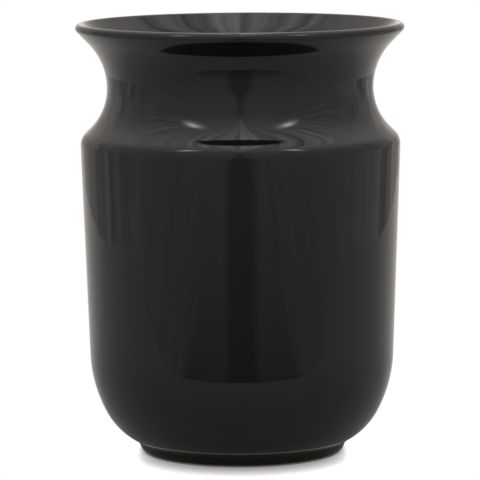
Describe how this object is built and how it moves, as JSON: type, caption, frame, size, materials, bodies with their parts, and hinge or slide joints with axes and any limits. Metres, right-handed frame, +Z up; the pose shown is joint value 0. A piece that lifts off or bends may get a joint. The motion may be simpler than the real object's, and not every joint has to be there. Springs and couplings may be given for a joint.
{
  "type": "vase",
  "caption": "Wide-mouthed ceramic vase with a flared neck, a shoulder ridge and a recessed foot ring, glazed glossy black inside and out; holds water, stems or loose goods.",
  "frame": {"origin": "centre of the foot ring's standing face, on the ground", "axes": "+Z up along the vase's axis; the vase is round, so X and Y are any level pair, and the picture looks along +Y"},
  "size_m": [0.213, 0.213, 0.28],
  "materials": {
    "stoneware": "bare fired clay",
    "slip": "fired joining slip",
    "black_glaze": "glossy black glaze"
  },
  "bodies": {
    "root": {"foot_ring": "stoneware", "foot_slip_joint": "slip", "body_shell": "stoneware", "shoulder_slip_joint": "slip", "neck_collar": "stoneware", "outer_glaze": "black_glaze", "liner_glaze": "black_glaze", "base_glaze": "black_glaze"}
  },
  "joints": []
}
